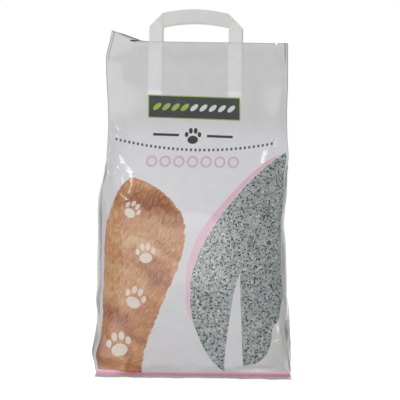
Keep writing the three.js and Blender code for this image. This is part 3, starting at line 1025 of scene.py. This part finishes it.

# %% [markdown]
# Where the film is pinched hard, painted shadow darkens the creases, and painted glints lighten the film
# beside them and at a few places near the corners of the front. Both are small marks: thin ovals on the film,
# turned with their creases and frayed by noise.

# %% Painted crease shadows and glints
from_middle = film_round.math("WRAP", AROUND / 2, -AROUND / 2)
ragged = noise(film_finish, film_spot, 0.3, 3.0)


def painted_marks_at(marks):
    """Painted marks, each with its place on the film, half its width and height, and its turn in degrees."""
    near = None
    for x, y, wide, high, turn in marks:
        shape = oval(*turned_place(from_middle - x, film_up - y, turn), wide, high)
        near = shape if near is None else near.least(shape)
    return 1 - (near + (ragged - 0.5) * 3).step(-0.7, 0.9)


# Painted shadow in the pinches, then painted glints beside them and on the shoulders.
crease_shadow_spots = [(-181.5, 129, 1.2, 6, 22), (-184.5, 122, 1.3, 6, -14), (-189, 129, 1.0, 5, 10),
        (182.5, 84, 1.3, 6, 20), (186, 74, 1.4, 6.5, -20), (190.5, 66, 1.0, 5, 12)]
glint_spots = [(-177.2, 131, 1.5, 5, 32), (-176.8, 121, 1.5, 5, -32), (154, 69, 5.5, 1.5, 18),
             (-155.6, 450, 1.5, 4.5, 34), (150, 426, 1.5, 7, -22), (157, 88, 1.6, 7, 4),
             (-170, 368, 1.4, 6, 24)]
painted_crease_shadows, painted_glints = painted_marks_at(crease_shadow_spots), painted_marks_at(glint_spots)
print("painted crease shadows and glints:", len(crease_shadow_spots) + len(glint_spots))

# %% [markdown]
# The print is laid on in layers, on a ground of white film. First come the tones of the film itself: greyer
# in the neck and lightest where the arms of the handles lie behind it. Painted shade makes the gussets and
# the lower right corner greyer, and a painted highlight makes the film lighter across the upper end of the
# fill. Then the printed fields and motifs follow in their order, and the painted crease shadows and glints
# come last.

# %% Layers of print, painted shade and painted light
PINK, CHARCOAL, LIME = paint(227, 188, 206), paint(44, 47, 46), paint(148, 180, 66)
film_tone = noise(film_finish, film_spot, 0.012, 2.0)
ground = film_finish.blend(film_tone.step(0.35, 0.65), paint(216, 215, 217), paint(213, 212, 214))
# Painted light: the film is lighter across the upper end of the fill, where it faces up into the lamps.
painted_highlight_band = film_up.step(230, 330) * (1 - film_up.step(425, 480)) * from_middle.step(-172, -110)
off_floor = film_up.step(50, 150)
# Painted shade: the lower right corner of each panel is greyer.
painted_shade_low_right = side.step(118, 170) * (1 - off_floor)
in_side = past(abs(side), PANEL / 2)
# Painted shade on the gussets: darkest near the floor, darker on the right, and greyest next to the corner
# folds.
painted_side_shade = film_finish.blend(off_floor, paint(142, 140, 134), paint(166, 165, 160))
painted_side_shade = film_finish.blend(from_middle.step(100, 176) * 0.45, painted_side_shade, paint(128, 128, 124))
painted_side_shade = film_finish.blend(abs(side).step(184, 222), painted_side_shade, paint(203, 202, 199))
sack_spot = film_finish.node("ShaderNodeTexCoord", output="Object")
sack_x, sack_y, sack_z = (axis_of(film_finish, sack_spot, letter) for letter in "XYZ")
rear = sack_y.step(-0.1, 0.1) * REAR_SHIFT
arm_gap = abs(abs(sack_x - rear) - ARM_MIDDLE) - ARM_WIDTH / 2
arm_band = filled(arm_gap, 0.9) * past(sack_z, ARM_END) * (1 - in_side)

layers = [
    (film_up.step(395, 470), paint(211, 211, 212)), (painted_highlight_band * 0.85, paint(229, 228, 231)),
    (painted_shade_low_right * 0.6, paint(188, 188, 185)), (in_side * 0.9, painted_side_shade),
    (arm_band * 0.75, paint(231, 231, 231)), (petal, fur), (petal * paws, paint(222, 208, 194)),
    (crescent, PINK), (litter_field, grain_colour),
    (panel_all, LIME), (panel_core, CHARCOAL), (leaves, paint(214, 216, 214)), (lime_leaves, LIME),
    (bars + dark_paw, CHARCOAL), (dots, paint(82, 84, 86)), (rings, paint(213, 184, 199)),
    (foot_band, foot_pink_lit_left), (painted_glints, paint(248, 248, 248)), (painted_crease_shadows * 0.9, paint(62, 62, 60))]
for mask, colour in layers:
    ground = film_finish.blend(mask.least(1.0), ground, colour)
print("layers on the film:", len(layers))

# %% [markdown]
# The film is glossy polyethylene. It has faint clouds of haze, so its roughness varies, and a bump gives what
# the mesh is too coarse for: shallow dimples where grains press from inside, and fine crinkles with thin
# ridges, which are noise folded at its middle. The corners of the sack are paler in patches along their
# folds.

# %% Printed film
haze = noise(film_finish, film_spot, 0.03, 4.0)
crinkle = noise(film_finish, film_spot, 0.026, 3.0, Distortion=0.7)
ridges = (1 - abs(crinkle - 0.5) * 9).most(0.0)
dimples = noise(film_finish, film_spot, 0.21, 2.0)
fine = noise(film_finish, film_spot, 0.6, 2.0)
in_fill = 1 - film_up.step(380, 440)
relief = ridges * (0.07 + 0.09 * in_fill) + dimples * 0.5 * in_fill + fine * 0.06
fold_white = (1 - abs(abs(side) - PANEL / 2).step(0.2, 1.6)) * haze.step(0.42, 0.6)
ground = film_finish.blend(fold_white * 0.5, ground, paint(228, 228, 229))
film_bump = film_finish.node("ShaderNodeBump", {}, Strength=0.5, Distance=0.0009, Height=relief)
film_finish.surface(Base_Color=ground, Roughness=haze.step(0.3, 0.7) * 0.12 + 0.22, Normal=film_bump)
film_finish.surface(Coat_Weight=0.4, Coat_Roughness=0.06, IOR=1.45, Specular_IOR_Level=0.35)
print("nodes in the printed film:", len(film_finish.tree.nodes))

# %% [markdown]
# The inside of the film isn't printed. It is painted a dark brownish grey, as painted shade for the slit
# between the lips, and noise mottles it. The weld is two films melted together: hard, glossy and ribbed
# across by the sealing bar, with the print's pink still on the part next to the sack.

# %% Inside film and weld
inside_spot = inside_finish.node("ShaderNodeTexCoord", output="Object")
inside_mottle = noise(inside_finish, inside_spot, 120.0, 4.0).step(0.35, 0.65)
painted_inside_shade = inside_finish.blend(inside_mottle, paint(146, 134, 126), paint(166, 158, 150))
inside_finish.surface(Base_Color=painted_inside_shade, Roughness=0.55)

weld_spot = weld_finish.node("ShaderNodeTexCoord", output="Object")
weld_x, weld_y = axis_of(weld_finish, weld_spot, "X"), axis_of(weld_finish, weld_spot, "Y")
weld_noise = noise(weld_finish, weld_spot, 60.0, 4.0)
ribs = (weld_x * 2.6).math("SINE") * 0.5 + weld_noise
weld_left = 1 - weld_x.step(-150, -112)
pink_part = (weld_y + weld_noise * 2 + weld_left).step(-86.4, -85.4)
# At its left end the weld is painted lighter, its pink and its grey: a painted highlight on the bulge there.
weld_pink_lit_left = weld_finish.blend(weld_left, paint(214, 170, 188), paint(246, 208, 224))
weld_colour = weld_finish.blend(weld_noise.step(0.35, 0.65), paint(214, 210, 212), paint(200, 198, 199))
weld_colour = weld_finish.blend(weld_left * 0.5, weld_colour, paint(236, 232, 234))
weld_colour = weld_finish.blend(pink_part, weld_colour, weld_pink_lit_left)
weld_bump = weld_finish.node("ShaderNodeBump", {}, Strength=0.5, Distance=0.0003, Height=ribs)
weld_finish.surface(Base_Color=weld_colour, Roughness=weld_noise * 0.15 + 0.22, Normal=weld_bump)
print("nodes in the weld:", len(weld_finish.tree.nodes))

# %% [markdown]
# The handles are a thicker, matter film, drawn along its length, so its lines run up the arms and along the
# crossbar. It is whiter in soft clouds at random.

# %% Handle film
BAR_UP = FOLD_FOOT - ARM_MIDDLE
strip_spot = strip_finish.node("ShaderNodeTexCoord", output="Object")
strip_x, strip_z = axis_of(strip_finish, strip_spot, "X"), axis_of(strip_finish, strip_spot, "Z")
on_bar = (strip_z - abs(strip_x)).step(BAR_UP + 8, BAR_UP + 16)
arm_lines = noise(strip_finish, spot_at(strip_finish, strip_x * 0.9, strip_z * 0.03), 1.0, 3.0)
bar_lines = noise(strip_finish, spot_at(strip_finish, strip_z * 0.9, strip_x * 0.03), 1.0, 3.0)
lines = arm_lines * (1 - on_bar) + bar_lines * on_bar
cloud = noise(strip_finish, strip_spot, 30.0, 3.0)
strip_colour = strip_finish.blend(lines.step(0.3, 0.7), paint(218, 218, 217), paint(227, 227, 226))
# Painted shade: the crossbar is darker than the arms.
strip_colour = strip_finish.blend(on_bar * 0.5, strip_colour, paint(208, 208, 207))
strip_colour = strip_finish.blend(cloud.step(0.5, 0.75) * 0.5, strip_colour, paint(229, 229, 228))
strip_bump = strip_finish.node("ShaderNodeBump", {}, Strength=0.4, Distance=0.0003, Height=lines + cloud)
strip_finish.surface(Base_Color=strip_colour, Roughness=cloud * 0.2 + 0.32, Normal=strip_bump)
print("nodes in the handle film:", len(strip_finish.tree.nodes))

# %% [markdown]
# The faces inside the lips take the inside film. The sack stands in for its plain CAD solid.

# %% Finish the sack
inner = set(fresh.tolist())
lip_inside = np.array([any(v in inner for v in face.vertices) for face in sack.data.polygons])
sack.data.polygons.foreach_set("material_index", lip_inside.astype(int))
print("inside faces:", lip_inside.sum())
pick(sack)
bpy.ops.object.shade_smooth()
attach(sack, "root")
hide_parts("filled_sack")
